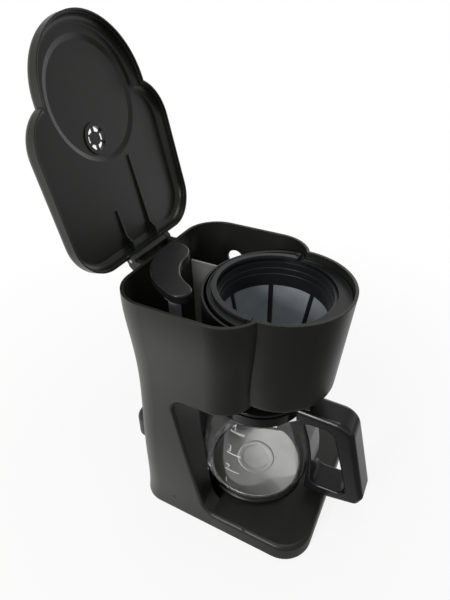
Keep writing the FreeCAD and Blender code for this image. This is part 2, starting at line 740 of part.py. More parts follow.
# Bail that folds down over the rear half of the basket rim
bail = ring(bail_r0, bail_r1, bail_z - bail_t / 2.0, bail_z + bail_t / 2.0, 0, basket_y)
bail = bail.cut(box(-90, 90, -160, basket_y, 200, 300))
for side in (1, -1):
    x0 = min(side * bail_r0, side * bail_r1) + 0.02
    end = rod_x(bail_t / 2.0, x0, x0 + bail_r1 - bail_r0 - 0.04, basket_y, bail_z)
    reach = bail_r1 + bail_ear_gap + bail_ear_t
    pin = rod_x(bail_pin_r, min(side * (bail_r1 - 1.0), side * reach),
                max(side * (bail_r1 - 1.0), side * reach), basket_y, bail_z)
    bail = bail.fuse(end).fuse(pin)
save("bail_handle", bail)

# Drip stop: stem with push pad, silicone seal and spring
head_low = basket_floor_z + fit + valve_seal_t
stem = tube(stem_r, stem_low_z, head_low + valve_head_t, 0, carafe_y)
stem = stem.fuse(tube(pad_r, stem_low_z, stem_low_z + pad_t, 0, carafe_y))
stem = stem.fuse(tube(valve_head_r, head_low, head_low + valve_head_t, 0, carafe_y))
save("valve_stem", stem)
save("valve_seal", ring(stem_r, valve_head_r - 0.3, basket_floor_z + fit, head_low, 0, carafe_y))
spring_low = stem_low_z + pad_t + spring_wire_r + 0.02
spring_high = basket_floor_z - basket_floor_t - spring_wire_r - 0.02
pitch = (spring_high - spring_low) / spring_turns
coil_points = []
for n in range(8 * spring_turns + 1):
    turn = math.pi * n / 4.0
    coil_points.append(V(spring_r * math.cos(turn), spring_r * math.sin(turn), pitch * n / 8.0))
arcs = []
for n in range(0, 8 * spring_turns, 2):
    arcs.append(Part.Arc(coil_points[n], coil_points[n + 1], coil_points[n + 2]).toShape())
heading = V(0, 2.0 * math.pi * spring_r, pitch)
start = Part.Wire([Part.makeCircle(spring_wire_r, coil_points[0], heading)])
spring = Part.Wire(arcs).makePipeShell([start], True, False)
save("valve_spring", spring.translated(V(0, carafe_y, spring_low)))

# Warming plate, its seal, and the heater held up by a bracket
plate_low = plate_z - plate_t
plate = turned([
    (0.0, plate_low), (plate_r, plate_low), (plate_r, plate_z - 0.5), (plate_r - 0.6, plate_z),
    (dimple_r1, plate_z), (dimple_r1 - 1.4, plate_z - dimple), (dimple_r0 + 1.4, plate_z - dimple),
    (dimple_r0, plate_z),
    (0.0, plate_z)], carafe_y)
save("warming_plate", plate)
seal = turned([
    (seal_in_r, base_top_z), (seal_out_r, base_top_z), (seal_out_r, plate_low - 0.4),
    (seal_out_r - 1.2, plate_z - 0.6), (plate_r + 0.3, plate_z - 0.6), (plate_r + 0.3, plate_low),
    (seal_in_r, plate_low)], carafe_y)
save("plate_seal", seal)
section = rounded_wire(
    [V(heater_r0, carafe_y, heater_low_z), V(heater_r1, carafe_y, heater_low_z),
     V(heater_r1, carafe_y, plate_low), V(heater_r0, carafe_y, plate_low)],
    [4.0, 4.0, 1.5, 1.5])
sweep = 360.0 - heater_gap_deg
heater = Part.Face(section).revolve(V(0, carafe_y, 0), V(0, 0, 1), sweep)
heater = heater.rotated(V(0, carafe_y, 0), V(0, 0, 1), 90.0 + heater_gap_deg / 2.0)
heater_end_y = carafe_y + 24.0
for side in (1, -1):
    stub = rod_y(nozzle_r, heater_end_y - 2.0, heater_end_y + 22.0, side * stub_x, hose_z)
    bore = rod_y(stub_in_r, heater_end_y + 6.0, heater_end_y + 30.0, side * stub_x, hose_z)
    heater = heater.fuse(stub).cut(bore)
save("heater_casting", heater)
bracket = box(-bracket_x, bracket_x, carafe_y - bracket_w / 2.0, carafe_y + bracket_w / 2.0,
              heater_low_z - bracket_t, heater_low_z)
for side in (1, -1):
    x0 = min(side * (bracket_x - bracket_t), side * bracket_x)
    bracket = bracket.fuse(box(x0, x0 + bracket_t, carafe_y - bracket_w / 2.0,
                               carafe_y + bracket_w / 2.0, heater_low_z - bracket_t, base_top_z - wall))
bracket = bracket.cut(tube(2.1, 0, 20, 0, carafe_y))
save("heater_bracket", bracket)
stud = tube(2.0, heater_low_z - bracket_t, plate_low, 0, carafe_y)
nut = tube(3.8, heater_low_z - bracket_t - 1.8, heater_low_z - bracket_t, 0, carafe_y)
save("heater_stud", stud.fuse(nut))
save("thermostat", tube(7.0, plate_low - 6.5, plate_low, 0, carafe_y + 14.5))
save("thermal_fuse", rod_x(1.9, -11.0, 11.0, carafe_y - 31.0, heater_low_z - 1.9))

# Hoses, clamps and the one-way valve
inlet_path = [
    (stub_x, heater_end_y + 10.5, hose_z), (stub_x, nozzle_y, hose_z),
    (nozzle_x, nozzle_y, nozzle_low_z + 9.0)]
outlet_path = [
    (-stub_x, heater_end_y + 10.5, hose_z), (-stub_x, riser_y, hose_z),
    (riser_x, riser_y, hose_z), (riser_x, riser_y, riser_low_z + 9.0)]
for name, path, bend in (("inlet_hose", inlet_path, 14.0), ("outlet_hose", outlet_path, 11.0)):
    save(name, piped(path, bend, hose_r, nozzle_r))
clamps = []
for side in (1, -1):
    y0 = heater_end_y + 11.0
    clamp = rod_y(hose_r + clamp_t, y0, y0 + clamp_w, side * stub_x, hose_z)
    clamps.append(clamp.cut(rod_y(hose_r, y0 - 1, y0 + clamp_w + 1, side * stub_x, hose_z)))
for x, y, z in ((nozzle_x, nozzle_y, nozzle_low_z + 2), (riser_x, riser_y, riser_low_z + 2)):
    clamps.append(ring(hose_r, hose_r + clamp_t, z, z + clamp_w, x, y))
save("hose_clamps", Part.makeCompound(clamps))
save("one_way_valve", ring(1.2, nozzle_r, nozzle_low_z - 10.0, nozzle_low_z, nozzle_x, nozzle_y))

# Power switch, lamp, terminal block, wires and cord gland
bezel = box(pad_x, pad_x + bezel_t, switch_y - bezel_half_y, switch_y + bezel_half_y,
            switch_z - bezel_half_z, switch_z + bezel_half_z)
bezel = bezel.makeFillet(2.0, near_edges(bezel, lambda b: b.XLength > 1.0))
opening = box(rocker_x - 8.0, 90, switch_y - rocker_half_y - fit, switch_y + rocker_half_y + fit,
              switch_z - rocker_half_z - 1.6, switch_z + rocker_half_z + 1.6)
case = box(60.0, pad_x, switch_y - switch_half_y, switch_y + switch_half_y,
           switch_z - switch_half_z, switch_z + switch_half_z)
case = case.fuse(bezel).cut(opening)
for z in (-6.0, 0.0, 6.0):
    case = case.fuse(box(54.0, 60.5, switch_y - 2.2, switch_y + 2.2, switch_z + z - 0.4, switch_z + z + 0.4))
case = case.cut(Part.makeCylinder(rocker_pin_r + run, 40, V(rocker_x, switch_y - 20, switch_z), V(0, 1, 0)))
save("switch_case", case)
face_x = rocker_x + rocker_rise
rocker_line = [V(rocker_x - 3.0, 0, switch_z), V(rocker_x + 1.0, 0, switch_z - rocker_half_z),
               V(face_x, 0, switch_z - rocker_half_z), V(face_x - 0.9, 0, switch_z),
               V(face_x, 0, switch_z + rocker_half_z), V(rocker_x + 1.0, 0, switch_z + rocker_half_z)]
rocker_wire = rounded_wire(rocker_line, [2.0, 1.5, 1.0, 30.0, 1.0, 1.5])
rocker = Part.Face(rocker_wire.translated(V(0, switch_y - rocker_half_y, 0)))
rocker = rocker.extrude(V(0, 2.0 * rocker_half_y, 0))
rocker = rocker.fuse(rod_y(rocker_pin_r, switch_y - switch_half_y, switch_y + switch_half_y,
                           rocker_x, switch_z))
save("switch_rocker", rocker.rotated(V(rocker_x, switch_y, switch_z), V(0, 1, 0), rocker_deg))
lamp = rod_x(lamp_r, pad_x - 5.0, pad_x + 0.8, switch_y, lamp_z)
lamp = lamp.makeFillet(0.7, near_edges(lamp, lambda b: b.XMin > pad_x + 0.7 and b.YLength > 3))
save("power_lamp", lamp)
cover_top = cover_z0 + cover_t
block_solid_low = box(-34.0, -8.0, 44.0, 57.0, cover_top, cover_top + 15.0)
for n in range(3):
    block_solid_low = block_solid_low.cut(tube(2.0, cover_top + 9.0, 60.0, -29.0 + 8.0 * n, 50.5))
save("terminal_block", block_solid_low)
term_z = cover_top + 9.0
wires = [
    ([(-29.0, 50.5, term_z), (-29.0, 50.5, 40.0), (gland_x, 50.5, gland_bore_z),
      (gland_x, gland_in_y - 1.0, gland_bore_z)], 6.0, 1.6),
    ([(-21.0, 50.5, term_z), (-21.0, 50.5, 50.0), (38.0, 56.0, 52.0), (44.0, switch_y, switch_z + 6.0),
      (54.0, switch_y, switch_z + 6.0)], 5.0, 1.2),
    ([(54.0, switch_y, switch_z - 6.0), (46.0, switch_y, switch_z - 6.0), (42.0, 34.0, 8.0),
      (29.0, 8.0, 7.8), (29.0, -8.0, 7.8)], 5.0, 1.2),
]
save("wiring", Part.makeCompound([piped(path, bend, r, 0.0) for path, bend, r in wires]))
low = gland_z - gland_half_h
high = gland_z + gland_half_h
corners = [V(gland_x - gland_half_w, 0, low), V(gland_x + gland_half_w, 0, low),
           V(gland_x + gland_half_w, 0, high), V(gland_x - gland_half_w, 0, high)]
gland_wire = rounded_wire(corners, [gland_half_w - 0.01] * 4).translated(V(0, 55.0, 0))
gland = Part.Face(gland_wire).extrude(V(0, gland_out_y - 55.0, 0))
gland = gland.makeFillet(gland_edge_r, near_edges(gland, lambda b: b.YMin > gland_out_y - 0.01))
gland = gland.cut(block_solid(0.0, 0.0))
neck = rod_y(gland_bore_r + 1.5, gland_in_y, gland_out_y + 0.8, gland_x, gland_bore_z)
gland = gland.fuse(neck)
gland = gland.cut(rod_y(gland_bore_r, 50, 90, gland_x, gland_bore_z))
save("cord_gland", gland)

# Carafe: glass, neck band, handle, lid
outer_line = Part.BSplineCurve()
outer_line.interpolate([V(r, carafe_y, z) for r, z in glass_outer])
inner_points = [(glass_outer[0][0] - 0.4, glass_low_z + glass_t)]
for i in range(1, len(glass_outer) - 1):
    (r0, z0), (r1, z1), (r2, z2) = glass_outer[i - 1], glass_outer[i], glass_outer[i + 1]
    length = math.hypot(r2 - r0, z2 - z0)
    inner_points.append((r1 - glass_t * (z2 - z0) / length, z1 + glass_t * (r2 - r0) / length))
inner_points.append((neck_r - glass_t, neck_low_z))
inner_line = Part.BSplineCurve()
inner_line.interpolate([V(r, carafe_y, z) for r, z in inner_points])
lip = rounded_wire(
    [V(neck_r - glass_t, carafe_y, neck_low_z), V(neck_r, carafe_y, neck_low_z),
     V(neck_r, carafe_y, neck_top_z), V(neck_r - glass_t, carafe_y, neck_top_z)],
    [0.0, 0.0, 1.0, 1.0])
first = V(glass_outer[0][0], carafe_y, glass_low_z)
inside = V(inner_points[0][0], carafe_y, inner_points[0][1])
edges = [
    Part.makeLine(V(0, carafe_y, glass_low_z), first), outer_line.toShape(),
    Part.makeLine(V(neck_r, carafe_y, neck_low_z), V(neck_r - glass_t, carafe_y, neck_low_z)),
    inner_line.toShape(), Part.makeLine(inside, V(0, carafe_y, inside.z)),
    Part.makeLine(V(0, carafe_y, inside.z), V(0, carafe_y, glass_low_z)),
]
glass = Part.Face(Part.Wire(Part.__sortEdges__(edges)))
glass = glass.revolve(V(0, carafe_y, 0), V(0, 0, 1), 360)
glass = glass.fuse(Part.Face(lip).revolve(V(0, carafe_y, 0), V(0, 0, 1), 360)).removeSplitter()
save("carafe_glass", glass)
band = ring(neck_r, neck_r + band_t, band_low_z, band_top_z, 0, carafe_y)
save("carafe_band", band)


def handle_prism(corners):
    wire = rounded_wire([V(0, y, z) for y, z, r in corners], [r for y, z, r in corners])
    return side_prism(wire, -handle_half, handle_half)


handle = handle_prism(handle_outer)
grip_y = handle_outer[5][0] - 0.3
outside = near_edges(handle, lambda b: b.XLength < 0.01 and (b.YMin < grip_y or b.ZMin > handle_top_z - 1.0))
handle = handle.makeFillet(handle_edge_r, outside).cut(handle_prism(handle_hole))
hole_box = handle_prism(handle_hole).BoundBox
hole_box.enlarge(0.1)
hole_edges = near_edges(handle, lambda b: b.XLength < 0.01 and abs(abs(b.XMin) - handle_half) < 0.01
                        and hole_box.isInside(b))
handle = handle.makeFillet(handle_hole_edge_r, hole_edges)
for side in (1, -1):
    x0 = min(side * handle_lug_x0, side * handle_lug_x1)
    lug = box(x0, x0 + handle_lug_x1 - handle_lug_x0, carafe_pin_y - 2.6, carafe_pin_y + 2.6,
              handle_top_z - 2.6, carafe_pin_z + 2.4)
    handle = handle.fuse(lug)
handle = handle.cut(tube(neck_r + band_t, throat_z, carafe_pin_z + 5.0, 0, carafe_y))
handle = handle.cut(rod_x(carafe_pin_r, -20, 20, carafe_pin_y, carafe_pin_z))
screw_low = handle_under_z + 0.2
screw_top = handle_top_z - 4.1
handle = handle.cut(tube(handle_screw_r, screw_low - 20.0, screw_top + 0.5, 0, handle_screw_y))
save("carafe_handle", handle)
screw = tube(handle_screw_r, screw_low, screw_top, 0, handle_screw_y)
screw = screw.fuse(tube(3.4, screw_low - 3.2, screw_low, 0, handle_screw_y))
save("handle_screw", screw.cut(handle))
skirt_in_r = carafe_lid_skirt_r - carafe_lid_t
skirt_low_z = carafe_lid_z - carafe_lid_skirt_h
lid_line = [
    (0.0, carafe_boss_z), (5.0, carafe_boss_z), (7.5, carafe_boss_z - 1.3), (10.0, carafe_lid_z + 7.2),
    (13.0, carafe_lid_z + 5.2), (30.0, carafe_lid_z + 5.6), (38.0, carafe_lid_z + 4.6),
    (carafe_lid_r, carafe_lid_z + 2.0), (carafe_lid_r, carafe_lid_z),
    (carafe_lid_skirt_r, carafe_lid_z), (carafe_lid_skirt_r, skirt_low_z), (skirt_in_r, skirt_low_z),
    (skirt_in_r, carafe_lid_z + 1.6), (13.0, carafe_lid_z + 3.0), (8.6, carafe_lid_z + 5.2),
    (6.0, carafe_boss_z - 2.9), (0.0, carafe_boss_z - 2.3),
]
carafe_lid = turned(lid_line, carafe_y)
for n in range(4):
    drip = tube(1.6, skirt_low_z, carafe_boss_z, 19.0, carafe_y)
    carafe_lid = carafe_lid.cut(drip.rotated(V(0, carafe_y, 0), V(0, 0, 1), 45.0 + 90.0 * n))
tab_y = carafe_pin_y - carafe_tab_reach
tab_root_y = carafe_y - carafe_lid_r + 4.0
tab = box(-carafe_tab_half, carafe_tab_half, tab_y, tab_root_y, carafe_lid_z + 0.6, carafe_lid_z + 4.0)
tab = tab.makeFillet(1.2, near_edges(tab, lambda b: b.XLength > 10 and b.YMax < tab_y + 1.0))
hub = box(-carafe_tab_half, carafe_tab_half, carafe_pin_y - 2.4, tab_root_y,
          carafe_pin_z - 2.2, carafe_pin_z + 2.2)
hub = hub.cut(tube(neck_r + band_t + 0.4, throat_z, carafe_lid_z - 0.1, 0, carafe_y))
carafe_lid = carafe_lid.fuse(tab).fuse(hub)
carafe_lid = carafe_lid.cut(rod_x(carafe_pin_r + run, -20, 20, carafe_pin_y, carafe_pin_z))
save("carafe_lid", carafe_lid)
save("carafe_lid_pin", rod_x(carafe_pin_r, -handle_lug_x1, handle_lug_x1, carafe_pin_y, carafe_pin_z))
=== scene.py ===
import bpy
import json
import math
import numpy as np
from mathutils import Matrix, Vector


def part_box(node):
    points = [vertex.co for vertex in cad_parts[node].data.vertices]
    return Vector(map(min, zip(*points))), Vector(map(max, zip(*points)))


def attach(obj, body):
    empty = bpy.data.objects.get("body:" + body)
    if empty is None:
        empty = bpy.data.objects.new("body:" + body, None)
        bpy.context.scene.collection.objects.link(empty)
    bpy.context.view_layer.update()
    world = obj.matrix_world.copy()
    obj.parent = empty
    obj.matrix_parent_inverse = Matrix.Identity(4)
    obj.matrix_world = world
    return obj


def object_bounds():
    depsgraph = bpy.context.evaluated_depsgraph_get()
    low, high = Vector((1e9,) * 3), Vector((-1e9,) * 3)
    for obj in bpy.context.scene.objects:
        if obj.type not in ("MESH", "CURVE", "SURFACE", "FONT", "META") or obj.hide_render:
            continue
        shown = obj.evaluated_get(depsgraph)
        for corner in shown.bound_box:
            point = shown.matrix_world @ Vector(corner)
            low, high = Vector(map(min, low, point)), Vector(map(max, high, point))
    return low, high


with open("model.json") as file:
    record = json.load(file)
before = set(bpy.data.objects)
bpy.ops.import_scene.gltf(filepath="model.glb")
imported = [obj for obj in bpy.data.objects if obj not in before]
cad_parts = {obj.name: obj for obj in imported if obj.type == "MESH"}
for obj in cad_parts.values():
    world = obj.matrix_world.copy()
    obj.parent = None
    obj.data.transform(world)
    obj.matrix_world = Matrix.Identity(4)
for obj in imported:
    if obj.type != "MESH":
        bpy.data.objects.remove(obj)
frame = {"nodes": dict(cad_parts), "record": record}
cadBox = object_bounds()
nodes = frame["nodes"]
scene = bpy.context.scene
mm = 0.001               # the model is drawn in metres, sizes below are in millimetres
print("frame loaded:", len(nodes), "nodes")


def toLinear(hexColour):
    # sRGB hex to the linear colour that the shader reads
    channels = np.array([int(hexColour[i:i + 2], 16) for i in (1, 3, 5)]) / 255
    linear = np.where(channels <= 0.04045, channels / 12.92, ((channels + 0.055) / 1.055) ** 2.4)
    return (*linear.tolist(), 1.0)


def addNode(tree, kind, settings=None, links=None):
    # settings name an input socket or a property of the node, links name an input socket
    node = tree.nodes.new(kind)
    for key, value in (settings or {}).items():
        if isinstance(key, int) or key in node.inputs:
            node.inputs[key].default_value = value
        else:
            setattr(node, key, value)
    for key, source in (links or {}).items():
        tree.links.new(source, node.inputs[key])
    return node


def newMaterial(name, ior):
    # an empty material with its shader, and the place on the piece that its patterns read
    material = bpy.data.materials.new(name)
    material.use_nodes = True
    tree = material.node_tree
    tree.nodes.clear()
    shader = addNode(tree, "ShaderNodeBsdfPrincipled", {"IOR": ior})
    addNode(tree, "ShaderNodeOutputMaterial", links={"Surface": shader.outputs["BSDF"]})
    place = addNode(tree, "ShaderNodeTexCoord").outputs["Object"]
    return material, tree, shader, place


# shared by every moulded piece: noise detail, depth of the grain and rays that soften an edge
moulding = dict(grainDetail=2.0, driftDetail=4.0, grainDeepMm=0.1, edgeRays=4)


def mouldedPlastic(look):
    # moulded plastic or rubber: the tool's fine grain breaks up the highlights, and the colour and
    # gloss drift a little where the melt flowed and where hands and cloths have polished it
    material, tree, shader, place = newMaterial(look["name"], look["ior"])
    grain = addNode(tree, "ShaderNodeTexNoise",
                    {"Scale": 1 / (look["grainMm"] * mm), "Detail": moulding["grainDetail"]},
                    {"Vector": place})
    drift = addNode(tree, "ShaderNodeTexNoise",
                    {"Scale": 1 / (look["driftMm"] * mm), "Detail": moulding["driftDetail"]},
                    {"Vector": place})
    tone = addNode(tree, "ShaderNodeMix",
                   {"data_type": "RGBA", 6: toLinear(look["dark"]), 7: toLinear(look["light"])},
                   {0: drift.outputs["Fac"]})
    rough = addNode(tree, "ShaderNodeMapRange", {3: look["rough"][0], 4: look["rough"][1]},
                    {0: drift.outputs["Fac"]})
    edge = addNode(tree, "ShaderNodeBevel", {"samples": moulding["edgeRays"], "Radius": look["edgeMm"] * mm})
    bump = addNode(tree, "ShaderNodeBump",
                   {"Strength": look["bump"], "Distance": moulding["grainDeepMm"] * mm},
                   {"Height": grain.outputs["Fac"], "Normal": edge.outputs["Normal"]})
    tree.links.new(tone.outputs[2], shader.inputs["Base Color"])
    tree.links.new(rough.outputs[0], shader.inputs["Roughness"])
    tree.links.new(bump.outputs["Normal"], shader.inputs["Normal"])
    return material


# keyed by the record's slots; real grain is 0.1 to 0.2 mm and is drawn near 1 mm so that it shows
plasticLooks = {
    "housing_plastic": dict(name="sparkErodedBlackAbs", dark="#181915", light="#1d1e1a", ior=1.5,
                            rough=(0.34, 0.44), grainMm=0.9, driftMm=38, bump=0.16, edgeMm=0.7),
    "lid_plastic": dict(name="satinBlackAbs", dark="#161914", light="#1c1f1a", ior=1.5,
                        rough=(0.27, 0.37), grainMm=0.9, driftMm=34, bump=0.12, edgeMm=0.6),
    "well_plastic": dict(name="mouldedBlackPolypropylene", dark="#121312", light="#161714", ior=1.48,
                         rough=(0.36, 0.48), grainMm=0.9, driftMm=30, bump=0.1, edgeMm=0.4),
    "cover_plastic": dict(name="coarseBlackPolypropylene", dark="#161616", light="#1c1c1c", ior=1.48,
                          rough=(0.5, 0.62), grainMm=0.8, driftMm=30, bump=0.25, edgeMm=0.5),
    "grey_plastic": dict(name="mouldedGreyPolypropylene", dark="#acaca8", light="#b6b6b2", ior=1.48,
                         rough=(0.4, 0.5), grainMm=0.9, driftMm=26, bump=0.12, edgeMm=0.3),
    "riser_plastic": dict(name="extrudedSmokePolypropylene", dark="#a9aab3", light="#b7b8c0", ior=1.48,
                          rough=(0.22, 0.34), grainMm=1.4, driftMm=18, bump=0.06, edgeMm=0.3),
    "spout_plastic": dict(name="satinBlackPolypropylene", dark="#151615", light="#1b1c1b", ior=1.49,
                          rough=(0.3, 0.42), grainMm=0.9, driftMm=20, bump=0.1, edgeMm=0.8),
    "valve_plastic": dict(name="mouldedBlackAcetal", dark="#262626", light="#2e2e2e", ior=1.48,
                          rough=(0.3, 0.4), grainMm=1.0, driftMm=12, bump=0.06, edgeMm=0.2),
    "switch_plastic": dict(name="mattBlackNylon", dark="#141414", light="#1a1a1a", ior=1.5,
                           rough=(0.4, 0.5), grainMm=0.7, driftMm=12, bump=0.15, edgeMm=0.3),
    "rocker_plastic": dict(name="polishedBlackPolycarbonate", dark="#0e0e0e", light="#131313", ior=1.52,
                           rough=(0.14, 0.22), grainMm=1.2, driftMm=9, bump=0.04, edgeMm=0.5),
    "terminal_plastic": dict(name="mouldedCreamPolyamide", dark="#cfcabb", light="#ddd8ca", ior=1.5,
                             rough=(0.45, 0.6), grainMm=0.6, driftMm=8, bump=0.2, edgeMm=0.3),
    "wire_pvc": dict(name="extrudedRedPvc", dark="#8c1c17", light="#a0241d", ior=1.5,
                     rough=(0.35, 0.45), grainMm=0.8, driftMm=10, bump=0.1, edgeMm=0.2),
    "basket_plastic": dict(name="glossBlackPolypropylene", dark="#0f1010", light="#151616", ior=1.46,
                           rough=(0.3, 0.42), grainMm=1.0, driftMm=24, bump=0.08, edgeMm=0.5),
    "filter_plastic": dict(name="glossBlackNylon", dark="#141617", light="#1b1d1e", ior=1.5,
                           rough=(0.24, 0.36), grainMm=1.0, driftMm=20, bump=0.08, edgeMm=0.4),
    "bail_plastic": dict(name="satinCharcoalNylon", dark="#242524", light="#2c2d2c", ior=1.5,
                         rough=(0.3, 0.42), grainMm=0.9, driftMm=16, bump=0.1, edgeMm=0.5),
    "band_plastic": dict(name="polishedBlackAbs", dark="#0b0b0b", light="#0f0f0f", ior=1.52,
                         rough=(0.1, 0.18), grainMm=1.6, driftMm=20, bump=0.03, edgeMm=0.5),
    "handle_plastic": dict(name="polishedBlackPolyamide", dark="#131413", light="#191a19", ior=1.53,
                           rough=(0.18, 0.28), grainMm=1.6, driftMm=24, bump=0.04, edgeMm=0.9),
    "carafe_lid_plastic": dict(name="glossBlackAbs", dark="#0b0b0b", light="#101010", ior=1.52,
                               rough=(0.12, 0.2), grainMm=1.6, driftMm=20, bump=0.03, edgeMm=0.6),
    "foot_rubber": dict(name="mouldedBlackRubber", dark="#141414", light="#1b1b1b", ior=1.52,
                        rough=(0.68, 0.8), grainMm=0.6, driftMm=7, bump=0.3, edgeMm=0.4),
    "seal_rubber": dict(name="smoothBlackSilicone", dark="#0e0e0e", light="#141414", ior=1.43,
                        rough=(0.32, 0.45), grainMm=0.7, driftMm=14, bump=0.08, edgeMm=0.4),
    "gland_rubber": dict(name="mouldedBlackPvc", dark="#121212", light="#181818", ior=1.5,
                         rough=(0.35, 0.5), grainMm=0.7, driftMm=10, bump=0.12, edgeMm=0.5),
    "silicone_grey": dict(name="mouldedGreySilicone", dark="#73736f", light="#81817c", ior=1.43,
                          rough=(0.45, 0.58), grainMm=0.7, driftMm=8, bump=0.12, edgeMm=0.2),
    "silicone_white": dict(name="extrudedWhiteSilicone", dark="#c3c2ba", light="#d3d2cb", ior=1.43,
                           rough=(0.4, 0.52), grainMm=0.7, driftMm=10, bump=0.1, edgeMm=0.3),
    "fuse_sleeve": dict(name="braidedGlassfibre", dark="#c9c2a9", light="#dbd5c0", ior=1.5,
                        rough=(0.7, 0.85), grainMm=0.5, driftMm=3, bump=0.5, edgeMm=0.2),
}


# shared by every metal piece: noise detail and depth of the tool marks
tooling = dict(ior=1.5, markDetail=3.0, tarnishDetail=5.0, markDeepMm=0.05)


def metalFinish(look):
    # bare or plated metal: tool marks stretched along one direction and a light tarnish
    material, tree, shader, place = newMaterial(look["name"], tooling["ior"])
    stretched = addNode(tree, "ShaderNodeMapping", {"Scale": look["stretch"]}, {"Vector": place})
    marks = addNode(tree, "ShaderNodeTexNoise",
                    {"Scale": 1 / (look["markMm"] * mm), "Detail": tooling["markDetail"]},
                    {"Vector": stretched.outputs["Vector"]})
    tarnish = addNode(tree, "ShaderNodeTexNoise",
                      {"Scale": 1 / (look["tarnishMm"] * mm), "Detail": tooling["tarnishDetail"]},
                      {"Vector": place})
    tone = addNode(tree, "ShaderNodeMix",
                   {"data_type": "RGBA", 6: toLinear(look["dark"]), 7: toLinear(look["light"])},
                   {0: tarnish.outputs["Fac"]})
    rough = addNode(tree, "ShaderNodeMapRange", {3: look["rough"][0], 4: look["rough"][1]},
                    {0: marks.outputs["Fac"]})
    bump = addNode(tree, "ShaderNodeBump",
                   {"Strength": look["bump"], "Distance": tooling["markDeepMm"] * mm},
                   {"Height": marks.outputs["Fac"]})
    shader.inputs["Metallic"].default_value = 1.0
    tree.links.new(tone.outputs[2], shader.inputs["Base Color"])
    tree.links.new(rough.outputs[0], shader.inputs["Roughness"])
    tree.links.new(bump.outputs["Normal"], shader.inputs["Normal"])
    return material


metalLooks = {
    "plated_steel": dict(name="zincPlatedSteel", dark="#9c9c9a", light="#bdbdb9", rough=(0.22, 0.4),
                         markMm=1.0, tarnishMm=6, stretch=(1, 1, 6), bump=0.15),
    "plate_metal": dict(name="spunAluminium", dark="#b4b5b2", light="#dddedb", rough=(0.34, 0.46),
                        markMm=1.2, tarnishMm=22, stretch=(1, 1, 1), bump=0.12),
    "heater_aluminium": dict(name="castAluminium", dark="#94948f", light="#b1b1ac", rough=(0.5, 0.65),
                             markMm=0.7, tarnishMm=9, stretch=(1, 1, 1), bump=0.4),
    "thermostat_steel": dict(name="drawnSteel", dark="#a5a5a2", light="#bcbcb8", rough=(0.25, 0.38),
                             markMm=0.8, tarnishMm=8, stretch=(1, 1, 5), bump=0.15),
    "spring_steel": dict(name="drawnStainlessWire", dark="#8f8f8c", light="#adada9", rough=(0.2, 0.32),
                         markMm=0.6, tarnishMm=4, stretch=(1, 1, 1), bump=0.1),
}


jugGlass = dict(ior=1.47, waveMm=16, waveDetail=1.0, waveDeepMm=0.4, bump=0.04, rough=0.01)


def blownGlass():
    # clear blown borosilicate: bright, with the very slight waviness of a wall that met no tool inside
    material, tree, shader, place = newMaterial("blownBorosilicateGlass", jugGlass["ior"])
    wave = addNode(tree, "ShaderNodeTexNoise",
                   {"Scale": 1 / (jugGlass["waveMm"] * mm), "Detail": jugGlass["waveDetail"]},
                   {"Vector": place})
    bump = addNode(tree, "ShaderNodeBump",
                   {"Strength": jugGlass["bump"], "Distance": jugGlass["waveDeepMm"] * mm},
                   {"Height": wave.outputs["Fac"]})
    shader.inputs["Base Color"].default_value = toLinear("#ffffff")
    shader.inputs["Roughness"].default_value = jugGlass["rough"]
    shader.inputs["Transmission Weight"].default_value = 1.0
    tree.links.new(bump.outputs["Normal"], shader.inputs["Normal"])
    return material


gauze = dict(ior=1.53, pitchMm=1.1, weftDetail=1.0, mottleMm=14, mottleDetail=5.0, dark="#7a8087",
             light="#9fa5ab", rough=0.42, bump=0.35, deepMm=0.2)


def wovenNylon():
    # filter cloth: threads 0.3 mm apart, drawn at 1.1 mm so that they show, with a coffee-stained mottle
    material, tree, shader, place = newMaterial("wovenNylonGauze", gauze["ior"])
    pitch = gauze["pitchMm"] * mm
    warp = addNode(tree, "ShaderNodeTexWave", {"Scale": 1 / (2 * math.pi * pitch), "bands_direction": "Z"},
                   {"Vector": place})
    weft = addNode(tree, "ShaderNodeTexNoise", {"Scale": 1 / pitch, "Detail": gauze["weftDetail"]},
                   {"Vector": place})
    height = addNode(tree, "ShaderNodeMath", {"operation": "ADD"},
                     {0: warp.outputs["Fac"], 1: weft.outputs["Fac"]})
    mottle = addNode(tree, "ShaderNodeTexNoise",
                     {"Scale": 1 / (gauze["mottleMm"] * mm), "Detail": gauze["mottleDetail"]},
                     {"Vector": place})
    tone = addNode(tree, "ShaderNodeMix",
                   {"data_type": "RGBA", 6: toLinear(gauze["dark"]), 7: toLinear(gauze["light"])},
                   {0: mottle.outputs["Fac"]})
    bump = addNode(tree, "ShaderNodeBump", {"Strength": gauze["bump"], "Distance": gauze["deepMm"] * mm},
                   {"Height": height.outputs[0]})
    shader.inputs["Roughness"].default_value = gauze["rough"]
    tree.links.new(tone.outputs[2], shader.inputs["Base Color"])
    tree.links.new(bump.outputs["Normal"], shader.inputs["Normal"])
    return material


lampLens = dict(colour="#b3160f", ior=1.58, cellMm=1.2, rough=0.12, clear=0.35, bump=0.2, deepMm=0.2)


def redLens():
    # clear red polycarbonate, polished in the tool, with a prism pattern behind its face
    material, tree, shader, place = newMaterial("polishedRedPolycarbonate", lampLens["ior"])
    cell = addNode(tree, "ShaderNodeTexVoronoi", {"Scale": 1 / (lampLens["cellMm"] * mm)}, {"Vector": place})
    bump = addNode(tree, "ShaderNodeBump",
                   {"Strength": lampLens["bump"], "Distance": lampLens["deepMm"] * mm},
                   {"Height": cell.outputs["Distance"]})
    shader.inputs["Base Color"].default_value = toLinear(lampLens["colour"])
    shader.inputs["Roughness"].default_value = lampLens["rough"]
    shader.inputs["Transmission Weight"].default_value = lampLens["clear"]
    tree.links.new(bump.outputs["Normal"], shader.inputs["Normal"])
    return material


film = dict(ior=1.5, grainMm=0.5, grainDetail=2.0, bump=0.1, deepMm=0.05)


